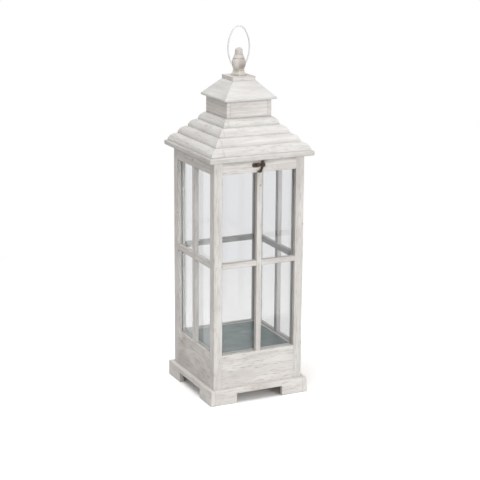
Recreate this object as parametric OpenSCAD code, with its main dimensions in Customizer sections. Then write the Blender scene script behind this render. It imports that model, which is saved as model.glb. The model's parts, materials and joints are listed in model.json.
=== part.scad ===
// Candle lantern with a wooden frame: four glazed sides with cross-shaped glazing bars,
// bracket feet, a stepped roof that is hinged at the back as a lid, and a wire bail
// through a turned finial.
// +Z is up, the front with the latch faces -Y, and the origin is at the middle of the base.

/* [Body frame] */
// Width of the square body over its corner posts
body_w = 188; // [184:0.5:192]
// Side of a square corner post
post_w = 17.5; // [17:0.5:19]
// Height of the sill, the top edge of the bottom rails
sill_z = 96.7; // [92:0.1:102]
// Height of the head, the lower edge of the top rails
head_z = 448.2; // [444:0.1:452]
// Height of the underside of the lid
lid_z = 472.6; // [472:0.1:474]
// Radius of the eased outer edge of a post
post_edge_r = 1.2; // [0.5:0.1:2]

/* [Plinth] */
// Height of the plinth boards
plinth_h = 30; // [26:0.5:34]
// Thickness of the plinth boards
plinth_t = 9; // [8:0.5:10]
// Width of the cut-out that leaves two bracket feet
foot_gap_w = 97; // [90:1:104]
// Height of that cut-out
foot_gap_h = 19.6; // [16:0.1:22]
// Radius of the eased top edge of the plinth
plinth_edge_r = 2; // [1:0.25:3]

/* [Glazing] */
// Width of a glazing bar
bar_w = 10.2; // [9:0.1:12]
// Depth of a glazing bar, from its face back to the glass
bar_d = 8.5; // [8:0.1:8.6]
// Thickness of the glass
glass_t = 2.2; // [1.8:0.1:2.3]
// Width of the groove that holds the glass
groove_w = 2.8; // [2.7:0.1:3.4]
// Depth of that groove in the posts and rails
groove_d = 4; // [3:0.5:5]
// Distance from the body's face back to the groove
groove_inset = 8.7; // [8.7:0.1:9.2]

/* [Floor] */
// Thickness of the floor board
floor_t = 9; // [6:0.5:12]
// Thickness of the zinc sheet laid on it
sheet_t = 0.7; // [0.5:0.1:1]
// How far the sheet lies below the sill
sheet_drop = 0.5; // [0.3:0.1:2]
// Side of the square battens that carry the floor board
batten_w = 12; // [10:1:16]

/* [Roof] */
// Width of the eave board
eave_w = 216; // [213:0.2:217]
// Thickness of the eave board
eave_t = 10.4; // [9.6:0.1:11]
// Radius of the rounded edges of the eave board
eave_edge_r = 3.6; // [2:0.1:4]
// Width over the lowest rounded course
course_w = 207; // [205:0.5:208]
// Height of one course
course_h = 15.1; // [15:0.1:15.6]
// How far each course is set back on the one below
course_step = 15; // [14.5:0.1:15.2]
// Radius of the round that a course's face is worked to
course_r = 17; // [15.5:0.1:19]
// Depth of a course strip, from its face to its back edge
strip_d = 27; // [24:1:30]
// Width of the neck box
neck_w = 92.8; // [91:0.2:94]
// Height of the neck box
neck_h = 32.7; // [30:0.1:34]
// Thickness of the neck boards
neck_t = 8; // [6:0.5:9]
// Width of the upper roof over its eaves
hip_w = 108; // [106:0.5:110]
// Thickness of the upper roof's edge
hip_edge = 3.4; // [2.6:0.1:4]
// Rise of the upper roof from its edge to the cap
hip_rise = 29.8; // [28:0.1:31]
// Width of the bottom of an upper roof board, along its soffit
hip_soffit = 13; // [11.5:0.5:14]
// Width of the cap block
cap_w = 47.6; // [46:0.2:49]
// Height of the cap block
cap_h = 7.6; // [7:0.1:9]

/* [Finial] */
// Width of the square foot at its base
foot_w = 20.5; // [20:0.5:22]
// Angle that the square foot is turned by, against the cap
foot_turn = 19; // [0:1:45]
// Height of the foot's lower, flared part
foot_h = 8.2; // [7:0.1:9]
// Height of the sloping collar above it
collar_h = 4.4; // [4:0.1:5]
// Radius of the bulb at its widest
bulb_r = 13.4; // [13:0.1:13.6]
// Height of the bulb's widest point above the cap
bulb_z = 23; // [22.5:0.1:24]
// Radius of the peg on top
peg_r = 7.4; // [7:0.1:8]
// Height of the whole finial above the cap
finial_h = 52.2; // [51:0.1:54]

/* [Bail] */
// Thickness of the bail wire
wire_d = 2.8; // [2.4:0.1:3]
// Width of the oval over its wire
bail_w = 47.4; // [46:0.2:49]
// Height of the whole lantern, to the top of the upright bail
lantern_h = 711.2; // [706:0.2:716]
// Height of the oval's widest point above the finial's cross hole
bulge_h = 29.5; // [28.5:0.5:30.5]
// Radius of the tight arc over the top of the oval
crown_r = 14.5; // [14:0.5:15.5]
// Radius of the bend where the wire turns into the finial
wire_bend_r = 2.5; // [2.2:0.1:3]
// Radial clearance of the wire in its hole
wire_play = 0.08; // [0.02:0.01:0.1]

/* [Hinges and latch] */
// Distance between the two hinges
hinge_gap = 104; // [80:1:120]
// Width of a hinge along its pin
hinge_w = 30; // [24:1:36]
// Height of the body leaf below the pin
leaf_l = 11; // [10:0.5:14]
// Depth of the lid leaf behind the pin
lid_leaf_l = 8.5; // [8:0.1:9]
// Thickness of the hinge leaves
leaf_t = 1.2; // [1:0.1:1.4]
// Outer radius of the hinge knuckles
knuckle_r = 2; // [1.8:0.1:2.1]
// Radius of the hinge pin
pin_r = 1; // [0.9:0.05:1.1]
// Radial clearance between the lid's knuckle and the pin
pin_play = 0.06; // [0.02:0.01:0.1]
// Angle that the latch hook hangs at, from its latched place
hook_drop = 57.5; // [50:0.5:65]
// Distance from the hook's rivet to the stud
hook_reach = 12.8; // [12.5:0.1:13]

/* [Hidden] */
$fn = 96;
SIDES = ["front", "right", "back", "left"];
POSTS = ["post_front_left", "post_front_right", "post_back_right", "post_back_left"];
COURSES = 4;
HINGES = ["hinge_left", "hinge_right"];

big = 300;                                // longer than any piece, for cutting
slit = 0.05;                              // half of the hairline left at a mitre
gap = 0.3;                                // air between pieces that pass or rest close
body_r = body_w / 2;
inner_r = body_r - post_w;
post_h = lid_z - gap;
rail_bottom_z = foot_gap_h + 2.4;         // just hidden behind the plinth
bar_z = (sill_z + head_z) / 2;
groove_y = -body_r + groove_inset;        // outer wall of the front groove
glass_y = groove_y + (groove_w - glass_t) / 2;
tenon_t = 4;                              // stub tenons on the glazing bars
tenon_w = bar_w - 3;
tenon_l = 4;
tenon_inset = 2.2;                        // from the bar's face back to its tenon
tenon_y = -body_r + tenon_inset;

sheet_z = sill_z - sheet_drop - sheet_t;
floor_z = sheet_z - floor_t;
floor_w = 2 * (inner_r - 0.2);

course_z = lid_z + eave_t;
neck_z = course_z + COURSES * course_h;
hip_z = neck_z + neck_h;
hip_top_z = hip_z + hip_edge + hip_rise;
hip_top_r = hip_w / 2 - hip_rise;
cap_z = hip_top_z;
cap_top_z = cap_z + cap_h;
pivot_z = cap_top_z + bulb_z;

wire_r = wire_d / 2;
oval_a = bail_w / 2 - wire_r;             // half-width of the oval's centre line
oval_top = lantern_h - wire_r;
oval_z = pivot_z + bulge_h;
oval_b = oval_top - oval_z;               // from the widest point up to the crown
side_r = (oval_a * oval_a + oval_b * oval_b - 2 * oval_b * crown_r) / (2 * (oval_a - crown_r));
side_x = oval_a - side_r;                 // centre of the right side's arc
bend_z = pivot_z + wire_bend_r;
bend_x = side_x + sqrt(pow(side_r - wire_bend_r, 2) - pow(oval_z - bend_z, 2));
crown_angle = atan2(oval_b - crown_r, -side_x);
bend_angle = atan2(oval_z - bend_z, bend_x - side_x);
wire_hole_end = 5;                        // how near the finial's axis its holes reach
wire_end = wire_hole_end + 1.5;

knuckle_air = 0.4;                        // between a knuckle and the wood beside it
hinge_y = body_r + knuckle_r + knuckle_air;
hinge_z = lid_z - knuckle_r - knuckle_air;
knuckle_w = hinge_w / 3;
screw_r = 1.1;
screw_head_r = 2.1;
screw_l = 7.5;
hinge_screw_x = hinge_w / 3;
leaf_screw_at = 7.2;                      // screw distance below the pin
lid_screw_at = lid_leaf_l - 2.7;          // screw distance behind the pin

keeper_t = 1;
stud_x = -7.2;
latch_z = 462;
stud_r = 1.2;
stud_head_r = 1.7;
keeper_screw_x = -12;
rivet_x = stud_x + hook_reach;
rivet_r = 1.2;
rivet_head_r = 2.3;
bracket_y = -body_r - 0.5;                // back of the bracket, clear of the rail
bracket_t = 1;
hook_t = 1.5;
hook_y = bracket_y - bracket_t - gap;     // back of the hook
latch_head_y = hook_y - hook_t - gap;     // back of the rivet's and the stud's heads
latch_head_t = 0.8;
bracket_screw_y = -body_r - 6.6;

// Turns a front piece round to side i: front, right, back, left.
module on_side(i) {
    rotate([0, 0, 90 * i]) children();
}

// Draws a section along the front side. The section's x is the distance out from the
// lantern's axis and its y is the height.
module along_front(length) {
    rotate([90, 0, -90]) linear_extrude(length, center = true) children();
}

// The same, cut at both ends to the mitres in the lantern's vertical diagonal planes.
module mitred_front() {
    intersection() {
        along_front(big) children();
        translate([0, -slit * sqrt(2), 0]) linear_extrude(3 * big)
            polygon([[0, 0], [-big, -big], [big, -big]]);
    }
}

// A rectangle with rounded corners, centred.
module round_rect(w, h, r) {
    square([w - 2 * r, h], center = true);
    square([w, h - 2 * r], center = true);
    for (x = [-1, 1], y = [-1, 1])
        translate([x * (w / 2 - r), y * (h / 2 - r)]) circle(r);
}

// A countersunk slotted screw that points along +Z, with its head's face at z = 0.
module screw() {
    head_h = screw_head_r - screw_r;
    difference() {
        union() {
            cylinder(h = head_h, r1 = screw_head_r, r2 = screw_r);
            cylinder(h = screw_l, r = screw_r);
        }
        translate([-screw_head_r, -0.25, -0.1]) cube([2 * screw_head_r, 0.5, 0.5]);
    }
}

// The space that a screw takes up in metal, from its head's face.
module countersink() {
    translate([0, 0, -1]) cylinder(h = 1, r = screw_head_r);
    cylinder(h = screw_head_r - screw_r, r1 = screw_head_r, r2 = screw_r);
    cylinder(h = leaf_t + 1, r = screw_r);
}

// ---- Plinth ----

// Section through the whole plinth block, with its two top edges eased.
module plinth_section() {
    r = body_r + plinth_t;
    intersection() {
        translate([0, plinth_h / 2 - r]) round_rect(2 * r, plinth_h + 2 * r, plinth_edge_r);
        translate([-r, 0]) square([2 * r, plinth_h]);
    }
}

// The plinth board of side i, at the front. The left and right boards run past the ends of
// the other two. The cut-out leaves a bracket foot at each end.
module plinth_board(i) {
    length = 2 * body_r + (i % 2 == 1 ? 2 * plinth_t : -2 * slit);
    color("gainsboro") difference() {
        intersection() {
            along_front(big) plinth_section();
            on_side(1) along_front(big) plinth_section();
            translate([-length / 2, -body_r - plinth_t, 0]) cube([length, plinth_t, plinth_h]);
        }
        translate([-foot_gap_w / 2, -big, -1]) cube([foot_gap_w, 2 * big, foot_gap_h + 1]);
    }
}

// ---- Body frame ----

// Groove for the glass and the rail tenons in the +X face of the front left post.
module post_groove() {
    translate([-inner_r - groove_d, groove_y, rail_bottom_z])
        cube([groove_d + 1, groove_w, post_h]);
    translate([-inner_r - tenon_l, tenon_y, bar_z - tenon_w / 2])
        cube([tenon_l + 1, tenon_t, tenon_w]);
}

// The front left corner post. Its two inner faces are grooved alike.
module post() {
    color("whitesmoke") difference() {
        translate([-body_r, -body_r, 0]) linear_extrude(post_h) {
            translate([post_edge_r, 0]) square([post_w - post_edge_r, post_w]);
            translate([0, post_edge_r]) square([post_w, post_w - post_edge_r]);
            translate([post_edge_r, post_edge_r]) circle(post_edge_r);
        }
        post_groove();
        mirror([1, -1, 0]) post_groove();
    }
}

// A front rail from z0 to z1, with a stub tenon at each end. edge_z is the edge that holds
// the glass and the upright bar: its groove is cut towards the rail's own middle.
module rail(z0, z1, edge_z) {
    groove_z = edge_z == z1 ? z1 - groove_d : z0 - 1;
    pocket_z = edge_z == z1 ? z1 - tenon_l : z0 - 1;
    difference() {
        union() {
            translate([-inner_r, -body_r, z0]) cube([2 * inner_r, post_w, z1 - z0]);
            translate([-inner_r - groove_d, groove_y, z0])
                cube([2 * (inner_r + groove_d), groove_w, z1 - z0]);
        }
        translate([-big / 2, groove_y, groove_z]) cube([big, groove_w, groove_d + 1]);
        translate([-tenon_w / 2, tenon_y, pocket_z]) cube([tenon_w, tenon_t, tenon_l + 1]);
    }
}

module bottom_rail() {
    color("whitesmoke") rail(rail_bottom_z, sill_z, sill_z);
}

// The top rails at the front and back are drilled for the latch and hinge screws.
module top_rail(side) {
    color("whitesmoke") difference() {
        rail(head_z, post_h, head_z);
        if (side == "front") place_keeper_screw() screw();
        if (side == "back") on_side(2) place_body_screws() screw();
    }
}

// ---- Glazing ----

// The upright bar: tenoned into both rails, and halved at its back where the bars cross.
module upright_bar() {
    color("whitesmoke") difference() {
        union() {
            translate([-bar_w / 2, -body_r, sill_z]) cube([bar_w, bar_d, head_z - sill_z]);
            translate([-tenon_w / 2, tenon_y, sill_z - tenon_l])
                cube([tenon_w, tenon_t, head_z - sill_z + 2 * tenon_l]);
        }
        translate([-bar_w, -body_r + bar_d / 2, bar_z - bar_w / 2])
            cube([2 * bar_w, bar_d, bar_w]);
    }
}

// The cross bar: tenoned into both posts, and halved at its front where the bars cross.
module cross_bar() {
    color("whitesmoke") difference() {
        union() {
            translate([-inner_r, -body_r, bar_z - bar_w / 2]) cube([2 * inner_r, bar_d, bar_w]);
            translate([-inner_r - tenon_l, tenon_y, bar_z - tenon_w / 2])
                cube([2 * (inner_r + tenon_l), tenon_t, tenon_w]);
        }
        translate([-bar_w / 2, -body_r - 1, bar_z - bar_w])
            cube([bar_w, bar_d / 2 + 1, 2 * bar_w]);
    }
}

// A pane, with a little play at its edges in the grooves.
module glass() {
    reach = groove_d - gap;
    color("lightcyan", 0.35) translate([-inner_r - reach, glass_y, sill_z - reach])
        cube([2 * (inner_r + reach), glass_t, head_z - sill_z + 2 * reach]);
}

// ---- Floor ----

module floor_board() {
    color("tan") translate([-floor_w / 2, -floor_w / 2, floor_z]) cube([floor_w, floor_w, floor_t]);
}

module floor_sheet() {
    color("slategray") translate([-floor_w / 2, -floor_w / 2, sheet_z])
        cube([floor_w, floor_w, sheet_t]);
}

// Two battens on the side rails, under the edges of the floor board.
module floor_battens() {
    color("tan") for (i = [1, 3]) on_side(i)
        translate([-floor_w / 2, -inner_r, floor_z - batten_w]) cube([floor_w, batten_w, batten_w]);
}

// ---- Roof ----

// A section with rounded edges run along both directions, so that the corners are mitred.
module eave_section() {
    translate([0, lid_z + eave_t / 2]) round_rect(eave_w, eave_t, eave_edge_r);
}

module eave_board() {
    color("whitesmoke") difference() {
        intersection() {
            along_front(big) eave_section();
            on_side(1) along_front(big) eave_section();
        }
        place_lid_screws() screw();
        place_bracket_screw() screw();
    }
}

// Course k, counted from the eave: four mitred strips whose faces round over to the foot of
// what stands on them, the next course or the neck.
module roof_course(k) {
    face = course_w / 2 - (k - 1) * course_step;
    tread = k < COURSES ? course_step : face - neck_w / 2;
    round_z = course_h - sqrt(pow(course_r, 2) - pow(course_r - tread, 2));
    color("whitesmoke") for (i = [0:3]) on_side(i) mitred_front()
        translate([face - strip_d, course_z + (k - 1) * course_h]) intersection() {
            square([strip_d, course_h]);
            union() {
                square([strip_d - tread, course_h]);
                translate([strip_d - course_r, round_z]) circle(course_r);
            }
        }
}

// The neck board of side i, at the front. The left and right boards cover the others' ends.
module neck_board(i) {
    length = neck_w - (i % 2 == 1 ? 0 : 2 * neck_t + 2 * slit);
    color("gainsboro") translate([-length / 2, -neck_w / 2, neck_z]) cube([length, neck_t, neck_h]);
}

// One hipped board of the upper roof: a thin upright edge, a 45 degree slope and a level
// soffit that rests on the neck.
module upper_roof_board() {
    r = hip_w / 2;
    color("whitesmoke") mitred_front() polygon([
        [r, hip_z],
        [r, hip_z + hip_edge],
        [hip_top_r, hip_top_z],
        [r - hip_soffit - hip_top_z + hip_z, hip_top_z],
        [r - hip_soffit, hip_z]
    ]);
}

module cap_block() {
    color("whitesmoke") translate([-cap_w / 2, -cap_w / 2, cap_z]) cube([cap_w, cap_w, cap_h]);
}

// ---- Finial ----

// Square foot of the finial: an upright edge, a hollow flare and a sloping collar.
module finial_foot() {
    edge_h = 2.4;
    flare_in = 2.3;
    flare_r = foot_h - edge_h;
    waist_r = foot_w / 2 - flare_in;
    intersection_for (i = [0, 1]) on_side(i) along_front(foot_w) translate([0, cap_top_z])
        difference() {
            translate([-foot_w / 2, 0]) square([foot_w, foot_h]);
            for (s = [-1, 1]) translate([s * (waist_r + flare_r), foot_h]) circle(flare_r);
        }
}

// Outline of the turned part above the foot, right of the axis.
module turned_outline() {
    bulb_curve = 18.5;
    bulb_top = bulb_z + 8.6;
    cone_z = bulb_top + 0.7;
    cone_top = bulb_top + 8;
    bead_r = 10.4;
    cone_r = 11;
    cone_top_r = 8.2;
    peg_edge_r = 5.8;
    intersection() {
        translate([bulb_r - bulb_curve, bulb_z]) circle(bulb_curve);
        translate([0, foot_h + collar_h]) square([big, bulb_top - foot_h - collar_h]);
    }
    polygon([
        [0, bulb_top], [bead_r, bulb_top], [bead_r, cone_z],
        [cone_r, cone_z], [cone_top_r, cone_top], [0, cone_top]
    ]);
    translate([0, cone_top - 1]) square([peg_r, finial_h - peg_edge_r - cone_top + 1]);
    translate([0, finial_h - peg_edge_r]) square([peg_r - peg_edge_r, peg_edge_r]);
    intersection() {
        translate([peg_r - peg_edge_r, finial_h - peg_edge_r]) circle(peg_edge_r);
        square([big, big]);
    }
}

module finial() {
    collar_w = 15.6;
    collar_top_w = 14.6;
    mouth_flare = 0.9;
    mouth_r = wire_r + mouth_flare;
    color("gainsboro") difference() {
        union() {
            rotate([0, 0, foot_turn]) {
                finial_foot();
                translate([0, 0, cap_top_z + foot_h]) intersection_for (i = [0, 1]) on_side(i)
                    along_front(collar_w) polygon([
                        [-collar_w / 2, 0], [collar_w / 2, 0],
                        [collar_top_w / 2, collar_h], [-collar_top_w / 2, collar_h]
                    ]);
            }
            translate([0, 0, cap_top_z]) rotate_extrude() turned_outline();
        }
        for (s = [-1, 1]) translate([0, 0, pivot_z]) rotate([0, 90 * s, 0]) {
            translate([0, 0, wire_hole_end]) cylinder(h = big, r = wire_r + wire_play);
            translate([0, 0, bulb_r - 1.3]) cylinder(h = big, r = mouth_r);
        }
    }
}

// ---- Bail ----

// An arc of the bail wire in the XZ plane, from angle a0 to angle a1 above +X. At each angle
// in beads, a bead a hair thicker than the wire joins it to the next piece as one solid.
module wire_arc(x, z, r, a0, a1, beads) {
    translate([x, 0, z]) rotate([90, 0, 0]) {
        rotate([0, 0, a0]) rotate_extrude(angle = a1 - a0) translate([r, 0]) circle(wire_r);
        for (a = beads) rotate([0, 0, a]) translate([r, 0, 0]) sphere(wire_r + 0.03);
    }
}

// An oval of five tangent arcs. Each end bends in and runs straight into the finial's hole.
module bail() {
    color("silver") {
        wire_arc(0, oval_top - crown_r, crown_r, crown_angle, 180 - crown_angle,
            [crown_angle, 180 - crown_angle]);
        for (m = [0, 1]) mirror([m, 0, 0]) {
            wire_arc(side_x, oval_z, side_r, -bend_angle, crown_angle, [-bend_angle]);
            wire_arc(bend_x, bend_z, wire_bend_r, -90, -bend_angle, [-90]);
            translate([wire_end, 0, pivot_z]) rotate([0, 90, 0])
                cylinder(h = bend_x - wire_end, r = wire_r);
        }
    }
}

// ---- Hinges ----

// Puts a hinge part at hinge k, with its pin along X through the origin.
module place_hinge(k) {
    translate([(k - 0.5) * hinge_gap, hinge_y, hinge_z]) children();
}

// A knuckle from x0 to x1, bored for the pin.
module knuckle(x0, x1, bore_r) {
    translate([x0, 0, 0]) rotate([0, 90, 0]) difference() {
        cylinder(h = x1 - x0, r = knuckle_r);
        translate([0, 0, -1]) cylinder(h = x1 - x0 + 2, r = bore_r);
    }
}

// The leaf on the back of the top rail, with the two outer knuckles.
module body_leaf() {
    wall_y = body_r - hinge_y;
    clear = knuckle_r + knuckle_air;
    color("darkgoldenrod") difference() {
        union() {
            translate([-hinge_w / 2, wall_y, -leaf_l]) cube([hinge_w, leaf_t, leaf_l]);
            for (x = [-hinge_w / 2, knuckle_w / 2]) knuckle(x, x + knuckle_w, pin_r);
        }
        translate([-knuckle_w / 2 - gap, -big, -clear])
            cube([knuckle_w + 2 * gap, 2 * big, 2 * clear]);
        for (x = [-1, 1])
            translate([x * hinge_screw_x, wall_y + leaf_t, -leaf_screw_at])
                rotate([90, 0, 0]) countersink();
    }
}

// The leaf under the eave board, with the middle knuckle.
module lid_leaf() {
    leaf_z = lid_z - hinge_z - leaf_t;
    clear = knuckle_r + knuckle_air;
    color("darkgoldenrod") difference() {
        union() {
            translate([-hinge_w / 2, clear, leaf_z]) cube([hinge_w, lid_leaf_l - clear, leaf_t]);
            translate([-knuckle_w / 2, 0, leaf_z]) cube([knuckle_w, lid_leaf_l, leaf_t]);
            knuckle(-knuckle_w / 2, knuckle_w / 2, pin_r + pin_play);
        }
        for (x = [-1, 1]) translate([x * hinge_screw_x, lid_screw_at, leaf_z]) countersink();
    }
}

module hinge_pin() {
    color("goldenrod") translate([-hinge_w / 2, 0, 0]) rotate([0, 90, 0])
        cylinder(h = hinge_w, r = pin_r);
}

// Places of the screws through the two body leaves, into the back of the top rail.
module place_body_screws() {
    for (k = [0, 1], x = [-1, 1]) place_hinge(k)
        translate([x * hinge_screw_x, body_r - hinge_y + leaf_t, -leaf_screw_at])
            rotate([90, 0, 0]) children();
}

// Places of the screws through the two lid leaves, up into the eave board.
module place_lid_screws() {
    for (k = [0, 1], x = [-1, 1]) place_hinge(k)
        translate([x * hinge_screw_x, lid_screw_at, lid_z - hinge_z - leaf_t]) children();
}

module hinge_body_screws() {
    color("goldenrod") place_body_screws() screw();
}

module hinge_lid_screws() {
    color("goldenrod") place_lid_screws() screw();
}

// ---- Latch ----

// Lies in the XZ plane at depth y, and stands out t towards the front.
module latch_plate(y, t) {
    translate([0, y, 0]) rotate([90, 0, 0]) linear_extrude(t) children();
}

// A round-ended plate on the front top rail, with the headed stud that the hook takes.
module latch_keeper() {
    plate_r = 3.9;
    plate_w = 16.5;
    color("darkslategray") {
        difference() {
            latch_plate(-body_r, keeper_t)
                translate([keeper_screw_x - plate_r + plate_w / 2, latch_z])
                    round_rect(plate_w, 2 * plate_r, plate_r - slit);
            place_keeper_screw() countersink();
        }
        translate([stud_x, 0, latch_z]) {
            latch_plate(-body_r - keeper_t, -body_r - keeper_t - latch_head_y) circle(stud_r);
            latch_plate(latch_head_y, latch_head_t) circle(stud_head_r);
        }
    }
}

module place_keeper_screw() {
    translate([keeper_screw_x, -body_r - keeper_t, latch_z]) rotate([-90, 0, 0]) children();
}

module latch_keeper_screw() {
    color("dimgray") place_keeper_screw() screw();
}

// An angle under the eave board. Its tongue hangs in front of the rail and holds the rivet.
module latch_bracket() {
    boss_r = 4.2;
    tongue_w = 5;
    flange_w = 9;
    flange_y = -body_r - 9;
    color("darkslategray") {
        difference() {
            translate([rivet_x - flange_w / 2, flange_y, lid_z - bracket_t])
                cube([flange_w, bracket_y - flange_y, bracket_t]);
            place_bracket_screw() countersink();
        }
        latch_plate(bracket_y, bracket_t) {
            translate([rivet_x, latch_z]) circle(boss_r);
            translate([rivet_x - tongue_w / 2, latch_z]) square([tongue_w, lid_z - latch_z]);
        }
        translate([rivet_x, 0, latch_z]) {
            latch_plate(bracket_y - bracket_t, bracket_y - bracket_t - latch_head_y)
                circle(rivet_r);
            latch_plate(latch_head_y, latch_head_t) circle(rivet_head_r);
        }
    }
}

module place_bracket_screw() {
    translate([rivet_x, bracket_screw_y, lid_z - bracket_t]) children();
}

module latch_bracket_screw() {
    color("dimgray") place_bracket_screw() screw();
}

// Outline of the hook in its latched place, pointing to -X from its rivet at [0, 0]. Its arm
// slopes under the stud, and its thick tip curls up beyond it. The mouth opens upwards, to
// swing up round the stud.
module hook_outline() {
    eye_r = 4.3;
    rivet_play = 0.06;
    mouth_play = 0.3;
    mouth_r = stud_r + mouth_play;
    arm_w = 2.6;
    arm_drop = 0.6;
    arm_slope = 11.5;
    tip_r = 2.3;
    tip_l = 8.4;
    tip_off = 0.9;                        // its middle, below and beyond the stud
    difference() {
        union() {
            circle(eye_r);
            translate([0, -arm_drop]) rotate(arm_slope) translate([-hook_reach, -arm_w / 2])
                square([hook_reach, arm_w]);
            translate([-hook_reach - tip_off, -tip_off]) rotate(-hook_drop)
                round_rect(tip_l, 2 * tip_r, tip_r - slit);
        }
        circle(rivet_r + rivet_play);
        translate([-hook_reach, 0]) circle(mouth_r);
        translate([-hook_reach - mouth_r, 0]) square([2 * mouth_r, 2 * eye_r]);
    }
}

module latch_hook() {
    color("darkslategray") translate([rivet_x, 0, latch_z]) rotate([0, -hook_drop, 0])
        latch_plate(hook_y, hook_t) hook_outline();
}

for (i = [0:3]) on_side(i) plinth_board(i);
for (i = [0:3]) on_side(i) post();
for (i = [0:3]) on_side(i) bottom_rail();
for (i = [0:3]) on_side(i) top_rail(SIDES[i]);
for (i = [0:3]) on_side(i) upright_bar();
for (i = [0:3]) on_side(i) cross_bar();
for (i = [0:3]) on_side(i) glass();
floor_board();
floor_sheet();
floor_battens();
for (k = [0, 1]) place_hinge(k) body_leaf();
for (k = [0, 1]) place_hinge(k) hinge_pin();
hinge_body_screws();
latch_keeper();
latch_keeper_screw();
eave_board();
for (k = [1:COURSES]) roof_course(k);
for (i = [0:3]) on_side(i) neck_board(i);
for (i = [0:3]) on_side(i) upper_roof_board();
cap_block();
finial();
for (k = [0, 1]) place_hinge(k) lid_leaf();
hinge_lid_screws();
latch_bracket();
latch_bracket_screw();
latch_hook();
bail();
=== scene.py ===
import json
import math
import random

import bpy
from mathutils import Matrix, Vector

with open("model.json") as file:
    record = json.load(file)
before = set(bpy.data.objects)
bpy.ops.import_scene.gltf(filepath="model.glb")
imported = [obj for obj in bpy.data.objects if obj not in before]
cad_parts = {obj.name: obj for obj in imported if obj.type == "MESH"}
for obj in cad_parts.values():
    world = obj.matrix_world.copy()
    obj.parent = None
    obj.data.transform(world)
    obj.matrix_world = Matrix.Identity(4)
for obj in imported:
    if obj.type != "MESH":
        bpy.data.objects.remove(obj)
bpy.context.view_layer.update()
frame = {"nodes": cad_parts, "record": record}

scene = bpy.context.scene
nodes = frame["nodes"]
MM = 0.001
SIDES = ("front", "right", "back", "left")


def colour(r, g, b, a=1.0):
    """A colour given in screen values from 0 to 255, as the linear RGBA that Blender wants."""
    def linear(c):
        c /= 255
        return c / 12.92 if c <= 0.04045 else ((c + 0.055) / 1.055) ** 2.4
    return (linear(r), linear(g), linear(b), a)


# ---- Camera ----

YAW = math.radians(25.717)
PITCH = math.radians(14.828)
ROLL = math.radians(0.374)
FOCAL_PX = 1456.893
FRAME_PX = 480
SENSOR_MM = 36.0
CAMERA_AT = Vector((-1.18606, -2.47325, 1.02047))


def add_camera():
    """The camera at the photograph's viewpoint."""
    back = Vector((-math.sin(YAW) * math.cos(PITCH), -math.cos(YAW) * math.cos(PITCH), math.sin(PITCH)))
    level_right = Vector((math.cos(YAW), -math.sin(YAW), 0))
    level_up = level_right.cross(-back)
    right = math.cos(ROLL) * level_right + math.sin(ROLL) * level_up
    up = -math.sin(ROLL) * level_right + math.cos(ROLL) * level_up
    data = bpy.data.cameras.new("camera")
    data.sensor_width = SENSOR_MM
    data.lens = FOCAL_PX / FRAME_PX * SENSOR_MM
    camera = bpy.data.objects.new("camera", data)
    camera.matrix_world = Matrix.Translation(CAMERA_AT) @ Matrix((right, up, back)).transposed().to_4x4()
    scene.collection.objects.link(camera)
    scene.camera = camera


# ---- Node trees ----

class Tree:
    """Builds the node tree of a material or of the world."""

    def __init__(self, owner, output="ShaderNodeOutputMaterial"):
        owner.use_nodes = True
        self.tree = owner.node_tree
        self.tree.nodes.clear()
        self.output = self.add(output)

    def add(self, kind, inputs=None, **settings):
        """A new node. inputs maps a socket's name or number to a value or to another socket."""
        node = self.tree.nodes.new(kind)
        for key, value in settings.items():
            setattr(node, key, value)
        for key, value in (inputs or {}).items():
            self.put(node.inputs[key], value)
        return node

    def put(self, socket, value):
        if isinstance(value, bpy.types.NodeSocket):
            self.tree.links.new(value, socket)
        else:
            socket.default_value = value

    def math(self, operation, a, b=0.0, clamp=False):
        return self.add("ShaderNodeMath", {0: a, 1: b}, operation=operation, use_clamp=clamp).outputs[0]

    def vector(self, operation, a, b=(0, 0, 0)):
        node = self.add("ShaderNodeVectorMath", {0: a, 1: b}, operation=operation)
        return node.outputs["Value" if operation in ("DOT_PRODUCT", "LENGTH") else "Vector"]

    def mix(self, factor, a, b):
        """Colour a where factor is 0 and b where it is 1."""
        node = self.add("ShaderNodeMix", data_type="RGBA")
        self.put(node.inputs[0], factor)
        self.put(node.inputs[6], a)
        self.put(node.inputs[7], b)
        return node.outputs[2]

    def blend(self, factor, a, b):
        """The number a where factor is 0 and b where it is 1."""
        node = self.add("ShaderNodeMix", data_type="FLOAT")
        self.put(node.inputs[0], factor)
        self.put(node.inputs[2], a)
        self.put(node.inputs[3], b)
        return node.outputs[0]

    def step(self, value, low, high, to_low=0.0, to_high=1.0):
        """A smooth step of value from low to high."""
        node = self.add("ShaderNodeMapRange", interpolation_type="SMOOTHSTEP")
        for key, v in zip((0, 1, 2, 3, 4), (value, low, high, to_low, to_high)):
            self.put(node.inputs[key], v)
        return node.outputs[0]

    def noise(self, vector, scale=1.0, detail=3.0, roughness=0.5, distortion=0.0):
        return self.add(
            "ShaderNodeTexNoise",
            {"Vector": vector, "Scale": scale, "Detail": detail, "Roughness": roughness,
             "Distortion": distortion},
        ).outputs[0]

    def principled(self, inputs):
        return self.add("ShaderNodeBsdfPrincipled", inputs)

    def surface(self, shader):
        self.put(self.output.inputs["Surface"], shader)


def new_material(name):
    material = bpy.data.materials.new(name)
    return material, Tree(material)


def millimetres(t):
    """The point's place in the object's own frame, in millimetres."""
    return t.vector("MULTIPLY", t.add("ShaderNodeTexCoord").outputs["Object"], (1000, 1000, 1000))


# ---- Whitewashed wood ----

WORN_EDGE = colour(168, 145, 129)
# a painted highlight along the roof's edges, where light catches them
HIGHLIGHT_EDGE = colour(243, 241, 236)
CAP_TOP_MM = 616.9       # the height that the finial stands at
PANEL_MM = 82.0          # half the width of the plain board inside the eave's frame
SIDE_SHIFT_MM = 631.0    # moves the grain of a frame's four sides apart
INSIDE_MM = 85.5         # the glass's distance from the axis


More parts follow.
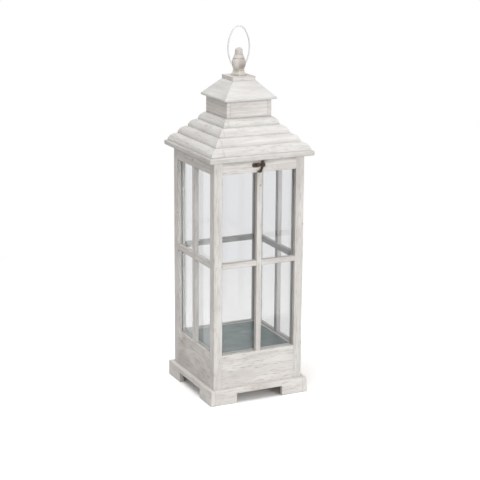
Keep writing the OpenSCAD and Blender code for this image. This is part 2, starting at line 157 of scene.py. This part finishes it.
def grain_space(t, grain, seed):
    """Sockets u, v, w: millimetres along the grain and across it. grain is X, Y or Z, or frame
    for pieces that run round the lantern and are mitred on its diagonals, or panel for such a
    frame round a plain board."""
    xyz = t.add("ShaderNodeSeparateXYZ", {0: millimetres(t)}).outputs
    x, y, z = xyz[0], xyz[1], xyz[2]
    if grain in ("frame", "panel"):
        side = t.math("GREATER_THAN", t.math("ABSOLUTE", x), t.math("ABSOLUTE", y))
        if grain == "panel":
            side = t.math("MULTIPLY", side, t.math("GREATER_THAN", t.math("ABSOLUTE", x), PANEL_MM))
        u, v, w = t.blend(side, x, y), t.blend(side, y, x), z
        far = t.math("GREATER_THAN", v, 0.0)
        number = t.math("ADD", side, t.math("MULTIPLY", far, 2.0))
        u = t.math("ADD", u, t.math("MULTIPLY", number, SIDE_SHIFT_MM))
    else:
        u, v, w = {"X": (x, y, z), "Y": (y, x, z), "Z": (z, x, y)}[grain]
    rng = random.Random(seed)
    return (t.math("ADD", u, rng.uniform(-900, 900)), v, w), rng


def stretched(t, uvw, along_mm, across_mm, shift=0.0):
    """A space for noise whose marks are along_mm long with the grain and across_mm over it."""
    u, v, w = uvw
    return t.add("ShaderNodeCombineXYZ", {
        0: t.math("ADD", t.math("DIVIDE", u, along_mm), shift),
        1: t.math("DIVIDE", v, across_mm),
        2: t.math("DIVIDE", w, across_mm)}).outputs[0]


def late_wood(t, uvw, rng, ring):
    """The dark part of growth rings round a pith outside the board, bent by a slow noise."""
    _, v, w = uvw
    pith = rng.uniform(0, 2 * math.pi)
    reach = rng.uniform(35, 70)
    bend = t.noise(stretched(t, uvw, 150, 60), detail=2.0)
    bend = t.math("MULTIPLY", t.math("SUBTRACT", bend, 0.5), 40.0)
    dv = t.math("ADD", t.math("ADD", v, reach * math.cos(pith)), bend)
    dw = t.math("ADD", t.math("ADD", w, reach * math.sin(pith)), t.math("MULTIPLY", bend, 0.6))
    radius = t.math("SQRT", t.math("ADD", t.math("MULTIPLY", dv, dv), t.math("MULTIPLY", dw, dw)))
    jitter = t.math("MULTIPLY", t.noise(stretched(t, uvw, 60, 14, 7.0), detail=3.0), 0.9)
    phase = t.math("FRACT", t.math("ADD", t.math("DIVIDE", radius, ring), jitter))
    return t.math("MULTIPLY", t.step(phase, 0.25, 0.9), t.step(phase, 0.9, 1.0, 1.0, 0.0))


def spots(t, base, mm, places, ragged, inner, outer, strength, shade):
    """Round spots over base. inner and outer are where a spot starts and stops fading, as shares of
    its radius, and ragged is a noise that roughens its edge."""
    for x, y, z, size in places:
        away = t.vector("LENGTH", t.vector("SUBTRACT", mm, (x, y, z)))
        away = t.math("ADD", away, t.math("MULTIPLY", ragged, size))
        base = t.mix(t.step(away, inner * size, outer * size, strength, 0.0), base, shade)
    return base


def filled_joint(t, base, xyz, seam, soft, fine):
    """A faint line of filler across the face in front, at x from the lowest to the highest z."""
    x, low, high = seam
    front = t.step(xyz[1], -20.0, -30.0)
    away = t.math("ADD", t.math("SUBTRACT", xyz[0], x), t.math("SUBTRACT", soft, 0.5))
    within = t.math("MULTIPLY", t.math("GREATER_THAN", xyz[2], low), t.math("LESS_THAN", xyz[2], high))
    line = t.step(t.math("ABSOLUTE", away), 0.6, 2.8, 0.3, 0.0)
    line = t.math("MULTIPLY", line, t.math("MULTIPLY", within, front))
    line = t.math("MULTIPLY", line, t.step(fine, 0.35, 0.6, 0.3, 1.0))
    return t.mix(line, base, colour(158, 150, 142))


def finial_wash(t, base, xyz):
    """Painted light and shade on the finial: painted shade on the lower bulb and below it towards its
    right, painted light on its left side and on its foot, painted shade in a strip below its collar
    on its right, and a browner colour along its bottom edge."""
    x = xyz[0]
    up = t.math("SUBTRACT", xyz[2], CAP_TOP_MM)
    # painted shade on the lower bulb and below it, towards its right
    under = t.math("MULTIPLY", t.step(up, 17.1, 35.1, 0.8, 0.0), t.step(x, -14.0, -3.0))
    base = t.mix(under, base, colour(152, 142, 132))
    # painted light on the finial's left side
    base = t.mix(t.step(x, -11.0, 1.0, 0.6, 0.0), base, colour(242, 238, 231))
    # painted light on the foot and the flare below the collar, which face up
    base = t.mix(t.step(up, 11.6, 13.6, 0.8, 0.0), base, colour(234, 230, 223))
    # painted shade in a strip below the collar, on its right side
    band = t.math("MULTIPLY", t.step(up, 8.1, 9.1), t.step(up, 10.3, 11.3, 0.5, 0.0))
    base = t.mix(t.math("MULTIPLY", band, t.step(x, -8.0, 0.0)), base, colour(150, 141, 132))
    # browner along the bottom edge
    return t.mix(t.step(up, 0.6, 3.1, 0.5, 0.0), base, colour(190, 174, 160))


def whitewash(name, grain, seed, tone=0.0, cool=0.0, ring=8.0, worn=0.3, dashes=0.35, dirt=0.15,
              dirt_mm=7.0, marks=(), stains=(), seam=None, rubbed=WORN_EDGE, inside_mm=None, turned=False):
    """Softwood under a thin, rubbed white wash. tone lightens it and cool makes it less cream, ring
    is the growth rings' spacing in millimetres, worn is how much more wood shows, dashes is how
    strong the short dark strokes are, dirt is the strength of the painted shade in joints,
    hollows and under overhangs, and dirt_mm their size. marks are knots, filled nail holes
    and, on the finial, painted shade in the mouths of the bail's holes, and stains are rusty ones
    round a nail (x, y, z and radius in millimetres), seam is a filled line across the front face
    (x, lowest and highest z), and rubbed is the colour of its edges: worn wood, and on the roof a
    painted highlight. Nearer the axis than inside_mm the piece is behind the glass, where a painted
    grey-green shade stands in for the shade and the glass's tint there, and its edges get no edge
    colour. turned is for the finial from the lathe, with its marks round it and its painted light
    and shade."""
    material, t = new_material(name)
    uvw, rng = grain_space(t, grain, seed)

    def grain_noise(along_mm, across_mm, shift=0.0, **settings):
        return t.noise(stretched(t, uvw, along_mm, across_mm, shift), **settings)

    late = late_wood(t, uvw, rng, ring)
    soft = grain_noise(80, 18, detail=3.0)
    if turned:
        fibre = grain_noise(1.8, 22, detail=4.0, roughness=0.62)
        fine = grain_noise(0.6, 14, detail=2.0, roughness=0.6)
        brush = grain_noise(2.0, 11, 90.0, detail=2.0, roughness=0.6)
    else:
        fibre = grain_noise(34, 2.0, detail=4.0, roughness=0.62)
        fine = grain_noise(14, 0.5, detail=2.0, roughness=0.6)
        brush = grain_noise(19, 1.8, 90.0, detail=2.0, roughness=0.6)
    cloud = grain_noise(42, 24, 40.0, detail=3.0, roughness=0.6)
    brush = t.step(brush, 0.54, 0.67)
    patch = t.step(grain_noise(70, 40, 17.0, detail=2.0), 0.26, 0.5)

    # the wood, and the wash that covers most of it
    wood = t.mix(late, colour(206, 188, 177), colour(168, 151, 141))
    wood = t.mix(t.step(fibre, 0.35, 0.7), wood, colour(188, 175, 167))
    light = 236 + 4 * tone
    wash = t.mix(t.step(soft, 0.3, 0.7), colour(light, light - 1 + 2 * cool, light - 4 + 3 * cool),
                 colour(light - 14, light - 17 + 2 * cool, light - 20 + 3 * cool))
    cover = 0.96 - 0.08 * worn
    for bare, share in ((late, 0.08 + 0.15 * worn), (t.step(fibre, 0.45, 0.72), 0.11 + 0.22 * worn),
                        (t.step(cloud, 0.5, 0.74), 0.02 + 0.34 * worn)):
        cover = t.math("SUBTRACT", cover, t.math("MULTIPLY", bare, share))
    base = t.mix(t.math("MAXIMUM", cover, 0.0), wood, wash)
    strokes = t.math("MULTIPLY", t.math("MULTIPLY", brush, patch), dashes)
    base = t.mix(strokes, base, colour(148, 140, 134))

    # knots, filler, the painted shade at the bail's holes, and stains
    mm = millimetres(t)
    xyz = t.add("ShaderNodeSeparateXYZ", {0: mm}).outputs
    ragged = t.math("SUBTRACT", fine, 0.5)
    base = spots(t, base, mm, marks, ragged, 0.35, 1.25, 0.85, colour(112, 98, 86))
    if seam:
        base = filled_joint(t, base, xyz, seam, soft, fine)
    ragged = t.math("MULTIPLY", t.math("SUBTRACT", fibre, 0.5), 2.0)
    base = spots(t, base, mm, stains, ragged, 0.2, 1.3, 0.4, colour(204, 180, 162))
    # the finial's painted light and shade
    if turned:
        base = finial_wash(t, base, xyz)

    # rubbed edges, with a painted highlight on the roof's edges, and painted shade in the joints, hollows
    # and under overhangs
    bevel = t.add("ShaderNodeBevel", {"Radius": 1.1 * MM}, samples=4)
    normal = t.add("ShaderNodeNewGeometry").outputs["Normal"]
    edge = t.step(t.vector("DOT_PRODUCT", bevel.outputs[0], normal), 0.80, 0.995, 1.0, 0.0)
    edge = t.math("MULTIPLY", edge, t.step(fibre, 0.4, 0.58, 0.15, 0.9))
    # behind the glass a painted grey-green shade stands in for the shade and the glass's tint there, and
    # the edges get no edge colour
    if inside_mm:
        out = t.math("MAXIMUM", t.math("ABSOLUTE", xyz[0]), t.math("ABSOLUTE", xyz[1]))
        out = t.step(out, inside_mm, inside_mm + 0.8)
        base = t.mix(t.blend(out, 0.3, 0.0), base, colour(172, 187, 182))
        edge = t.math("MULTIPLY", edge, out)
    # the edge colour: worn wood, and on the roof a painted highlight
    base = t.mix(t.math("MULTIPLY", edge, 0.9), base, rubbed)
    # painted shade where the ambient occlusion finds joints, hollows and overhangs
    hollow = t.add("ShaderNodeAmbientOcclusion", {"Distance": dirt_mm * MM}, samples=4).outputs["AO"]
    base = t.mix(t.step(hollow, 0.6, 0.86, dirt, 0.0), base, colour(112, 103, 96))

    height = t.math("ADD", t.math("MULTIPLY", fibre, 0.55), t.math("MULTIPLY", fine, 0.3))
    height = t.math("SUBTRACT", height, t.math("MULTIPLY", t.math("ADD", brush, late), 0.2))
    bump = t.add("ShaderNodeBump", {"Strength": 0.3, "Distance": 0.25 * MM, "Height": height,
                                    "Normal": bevel.outputs[0]})
    rough = t.step(soft, 0.2, 0.8, 0.58, 0.72)
    t.surface(t.principled({"Base Color": base, "Roughness": rough, "Specular IOR Level": 0.3,
                            "Normal": bump.outputs[0]}).outputs[0])
    return material


def plain_wood(name, grain, seed):
    """Bare softwood, where the wash doesn't reach."""
    material, t = new_material(name)
    uvw, _ = grain_space(t, grain, seed)
    wander = t.noise(stretched(t, uvw, 150, 50))
    bands = t.math("ADD", t.math("DIVIDE", uvw[1], 9.0), t.math("MULTIPLY", wander, 5.0))
    bands = t.math("FRACT", bands)
    fibre = t.noise(stretched(t, uvw, 40, 1.8), detail=4.0)
    base = t.mix(t.step(bands, 0.3, 0.95), colour(214, 184, 143), colour(186, 148, 104))
    base = t.mix(t.step(fibre, 0.4, 0.7, 0.0, 0.4), base, colour(162, 124, 84))
    bump = t.add("ShaderNodeBump", {"Strength": 0.3, "Distance": 0.2 * MM, "Height": fibre})
    t.surface(t.principled({"Base Color": base, "Roughness": t.step(fibre, 0.3, 0.7, 0.62, 0.78),
                            "Normal": bump.outputs[0]}).outputs[0])
    return material


# ---- Glass and metals ----

GLASS_TINT = colour(239.4, 239.8, 240.5)


def pane_glass(name):
    """Clear float glass with a faint green tint and a few specks of dust. Lamps shine through it."""
    material, t = new_material(name)
    mm = millimetres(t)
    dust = t.noise(t.vector("MULTIPLY", mm, (0.05, 0.05, 0.02)), detail=5.0)
    glass = t.principled({"Base Color": GLASS_TINT, "Transmission Weight": 1.0, "IOR": 1.45,
                          "Roughness": t.step(dust, 0.5, 0.8, 0.0, 0.004)})
    clear = t.add("ShaderNodeBsdfTransparent", {"Color": GLASS_TINT})
    mixed = t.add("ShaderNodeMixShader", {0: t.add("ShaderNodeLightPath").outputs["Is Shadow Ray"],
                                          1: glass.outputs[0], 2: clear.outputs[0]})
    t.surface(mixed.outputs[0])
    return material


def zinc(name):
    """Galvanised sheet: blue-grey, with soft crystals and rubbed streaks, and a painted shade that darkens
    it to the right.
    """
    material, t = new_material(name)
    mm = millimetres(t)
    crystal = t.add("ShaderNodeTexVoronoi", {"Vector": mm, "Scale": 0.085, "Randomness": 1.0})
    facet = t.add("ShaderNodeSeparateXYZ", {0: crystal.outputs["Color"]}).outputs[0]
    cloud = t.noise(t.vector("MULTIPLY", mm, (0.03, 0.03, 0.03)), detail=4.0)
    streak = t.noise(t.vector("MULTIPLY", mm, (0.02, 0.6, 0.1)), detail=3.0)
    base = t.mix(t.step(cloud, 0.3, 0.7), colour(112, 130, 129), colour(138, 151, 149))
    base = t.mix(t.math("MULTIPLY", facet, 0.35), base, colour(96, 113, 112))
    # painted shade, darker towards the right
    right = t.step(t.add("ShaderNodeSeparateXYZ", {0: mm}).outputs[0], -50.0, 70.0, 0.0, 0.45)
    base = t.mix(right, base, colour(80, 99, 98))
    rough = t.math("ADD", t.step(streak, 0.3, 0.7, 0.30, 0.42), t.math("MULTIPLY", facet, 0.08))
    bump = t.add("ShaderNodeBump", {"Strength": 0.08, "Distance": 0.2 * MM, "Height": cloud})
    t.surface(t.principled({"Base Color": base, "Metallic": 0.65, "Roughness": rough,
                            "Normal": bump.outputs[0]}).outputs[0])
    return material


def bronze(name):
    """Stamped steel with a dark bronze finish, rubbed bright on its edges."""
    material, t = new_material(name)
    mm = millimetres(t)
    cloud = t.noise(mm, scale=0.6, detail=4.0)
    grit = t.noise(mm, scale=3.5, detail=2.0)
    bevel = t.add("ShaderNodeBevel", {"Radius": 0.3 * MM}, samples=4)
    normal = t.add("ShaderNodeNewGeometry").outputs["Normal"]
    edge = t.step(t.vector("DOT_PRODUCT", bevel.outputs[0], normal), 0.80, 0.99, 0.8, 0.0)
    base = t.mix(t.step(cloud, 0.35, 0.65), colour(48, 41, 37), colour(74, 64, 54))
    base = t.mix(edge, base, colour(128, 114, 96))
    bump = t.add("ShaderNodeBump", {"Strength": 0.15, "Distance": 0.05 * MM, "Height": grit,
                                    "Normal": bevel.outputs[0]})
    t.surface(t.principled({"Base Color": base, "Metallic": 0.85,
                            "Roughness": t.step(grit, 0.3, 0.7, 0.28, 0.45),
                            "Normal": bump.outputs[0]}).outputs[0])
    return material


def bare_wire(name):
    """Pale galvanised wire with faint drawing marks."""
    material, t = new_material(name)
    mm = millimetres(t)
    cloud = t.noise(mm, scale=0.25, detail=4.0)
    grit = t.noise(mm, scale=4.0, detail=2.0)
    base = t.mix(t.step(cloud, 0.35, 0.65), colour(230, 230, 230), colour(216, 216, 216))
    bump = t.add("ShaderNodeBump", {"Strength": 0.1, "Distance": 0.05 * MM, "Height": grit})
    t.surface(t.principled({"Base Color": base, "Metallic": 0.1,
                            "Roughness": t.step(grit, 0.3, 0.7, 0.34, 0.5),
                            "Normal": bump.outputs[0]}).outputs[0])
    return material


def paint(name, material):
    """Gives a CAD node its one material."""
    mesh = nodes[name].data
    mesh.materials.clear()
    mesh.materials.append(material)


# knots and filled nail holes on the faces in view, and on the finial painted shade in the mouths of the
# bail's holes: x, y, z and radius in millimetres
MARKS = {
    "upright_bar_front": ((1.6, -94, 422.8, 1.6), (-2.0, -94, 300.0, 0.8)),
    "post_front_right": ((93.5, -94, 339, 1.8), (92.5, -94, 101, 1.2), (85, -94, 455, 0.8)),
    "post_front_left": ((-76.8, -94, 272.4, 1.3), (-94, -94, 227, 1.0), (-94, -94, 189, 1.2)),
    "top_rail_left": ((-94, 4.8, 460.7, 1.8),),
    "post_back_left": ((-94, 77, 342, 1.5), (-94, 88, 430, 0.9)),
    "upright_bar_left": ((-94, -3.5, 344, 1.5),),
    # painted shade in the mouths of the bail's holes
    "finial": ((-12.6, 0, 639.9, 2.4), (12.6, 0, 639.9, 1.8)),
}

# rusty stains, in the same way
STAINS = {
    "plinth_front": ((-14.0, -103, 24.0, 6.0), (-3.0, -103, 22.0, 5.0), (-99.0, -103, 12.0, 6.0)),
    "post_front_left": ((-93.0, -94, 60.0, 5.0), (-93.0, -94, 150.0, 5.0)),
}

# filled joints across the front of the roof's four courses: x, lowest and highest z
SEAMS = ((-77.0, 484.0, 495.5), (-74.5, 500.0, 512.0), (-62.5, 514.5, 526.5), (-47.5, 529.5, 541.5))


def paint_all():
    """Gives every CAD node its material."""
    glass, sheet, metal, wire = pane_glass("glass"), zinc("zinc"), bronze("bronze"), bare_wire("wire")

    def wood(node, grain, seed, **look):
        paint(node, whitewash(f"wood_{node}", grain, seed, marks=MARKS.get(node, ()),
                              stains=STAINS.get(node, ()), **look))

    for k, side in enumerate(SIDES):
        run = "X" if side in ("front", "back") else "Y"
        wood(f"plinth_{side}", run, 10 + k, tone=2.0, dashes=0.3)
        wood(f"bottom_rail_{side}", run, 24 + k, ring=14.0, worn=1.0 if side == "left" else 0.25,
             tone=0.8, dashes=0.5, inside_mm=INSIDE_MM)
        # the top rails get a strong painted shade under the eave
        wood(f"top_rail_{side}", run, 30 + k, tone=1.8, dirt=0.95, dirt_mm=10.0, inside_mm=INSIDE_MM)
        wood(f"upright_bar_{side}", "Z", 40 + k, inside_mm=INSIDE_MM)
        wood(f"cross_bar_{side}", run, 50 + k, inside_mm=INSIDE_MM)
        # the neck gets a strong painted shade under the upper roof
        wood(f"neck_{side}", run, 60 + k, tone=1.0, worn=0.4, dashes=0.2, dirt=0.9, dirt_mm=6.0)
        # painted light: the left slope is painted lighter than the other three, and every slope's edges
        # get a painted highlight
        wood(f"upper_roof_{side}", run, 70 + k, tone=-1.0 if side == "left" else -2.3, cool=0.9,
             worn=0.0, dashes=0.15, rubbed=HIGHLIGHT_EDGE)
        paint(f"glass_{side}", glass)
    for k, post in enumerate(("front_left", "front_right", "back_right", "back_left")):
        wood(f"post_{post}", "Z", 80 + k, tone=-1.2 if post == "front_right" else 0.0, inside_mm=INSIDE_MM)
    for k in range(1, 5):
        # painted shade at the foot of each course, and a painted highlight along its edges
        wood(f"roof_course_{k}", "frame", 90 + k, cool=0.9, worn=0.2, dirt=0.4, dirt_mm=10.0,
             seam=SEAMS[k - 1], rubbed=HIGHLIGHT_EDGE)
    # painted shade in the hollows round the eave board
    wood("eave_board", "panel", 95, tone=-3.0, cool=0.5, dirt=0.45, dirt_mm=10.0)
    wood("cap_block", "X", 96, tone=-1.2)
    wood("finial", "Z", 97, tone=-4.0, worn=0.9, dashes=0.1, dirt=0.1, dirt_mm=3.0, turned=True)
    paint("floor_board", plain_wood("wood_floor_board", "X", 98))
    paint("floor_battens", plain_wood("wood_floor_battens", "X", 99))
    paint("floor_sheet", sheet)
    paint("bail", wire)
    for row in frame["record"]["subparts"]:
        if row["material_slot"] == "aged_bronze":
            paint(row["node"], metal)


# ---- Floor, light and world ----

FLOOR_M = 28.0
FLOOR_GAP_M = 0.0002     # keeps the floor's face clear of the feet's
AMBIENT = 0.43           # the world's strength as light


def add_floor():
    """A pale floor that keeps the lantern's shadow and is white to the camera further out."""
    mesh = bpy.data.meshes.new("floor")
    half = FLOOR_M / 2
    corners = [(-half, -half, 0), (half, -half, 0), (half, half, 0), (-half, half, 0)]
    mesh.from_pydata(corners, [], [(0, 1, 2, 3)])
    floor = bpy.data.objects.new("floor", mesh)
    floor.location.z = -FLOOR_GAP_M
    scene.collection.objects.link(floor)
    material, t = new_material("floor")
    mesh.materials.append(material)
    path = t.add("ShaderNodeLightPath").outputs
    seen = t.math("MAXIMUM", path["Is Camera Ray"],
                  t.math("MAXIMUM", path["Is Glossy Ray"], path["Is Transmission Ray"]))
    place = t.add("ShaderNodeTexCoord").outputs["Object"]
    far = t.step(t.vector("LENGTH", place), 0.35, 1.1)
    pale = t.add("ShaderNodeBsdfDiffuse", {"Color": t.mix(seen, (0.72, 0.72, 0.72, 1), (1, 1, 1, 1))})
    plain = t.mix(path["Is Camera Ray"], (0.33, 0.33, 0.33, 1), (0.5, 0.5, 0.5, 1))
    lift = t.add("ShaderNodeBsdfDiffuse", {"Color": t.mix(seen, (0, 0, 0, 1), plain)})
    near = t.add("ShaderNodeAddShader", {0: pale.outputs[0], 1: lift.outputs[0]})
    white = t.add("ShaderNodeEmission", {"Color": (1, 1, 1, 1), "Strength": 1.0})
    mixed = t.add("ShaderNodeMixShader", {0: t.math("MULTIPLY", seen, far), 1: near.outputs[0],
                                          2: white.outputs[0]})
    t.surface(mixed.outputs[0])


def add_world():
    """An even pale surround, white where the camera looks at it."""
    world = bpy.data.worlds.new("world")
    scene.world = world
    t = Tree(world, "ShaderNodeOutputWorld")
    path = t.add("ShaderNodeLightPath").outputs
    seen = t.math("MAXIMUM", path["Is Camera Ray"],
                  t.math("MAXIMUM", path["Is Glossy Ray"], path["Is Transmission Ray"]))
    t.surface(t.add("ShaderNodeBackground", {"Color": t.mix(seen, (1.0, 0.985, 0.965, 1.0), (1, 1, 1, 1)),
                                             "Strength": t.blend(seen, AMBIENT, 1.0)}).outputs[0])


def add_lamp(name, at, size, watts, aim=(0, 0, 0.35)):
    """A square soft box that shines from a point towards the lantern."""
    data = bpy.data.lights.new(name, "AREA")
    data.shape = "SQUARE"
    data.size = size
    data.energy = watts
    lamp = bpy.data.objects.new(name, data)
    lamp.location = at
    lamp.rotation_euler = (Vector(aim) - Vector(at)).to_track_quat("-Z", "Y").to_euler()
    scene.collection.objects.link(lamp)


add_camera()
add_world()
add_floor()
add_lamp("key", (1.1, -3.3, 0.62), 1.8, 57)
add_lamp("top", (-0.6, -0.3, 2.9), 2.0, 40)
paint_all()

scene.view_settings.view_transform = "Standard"
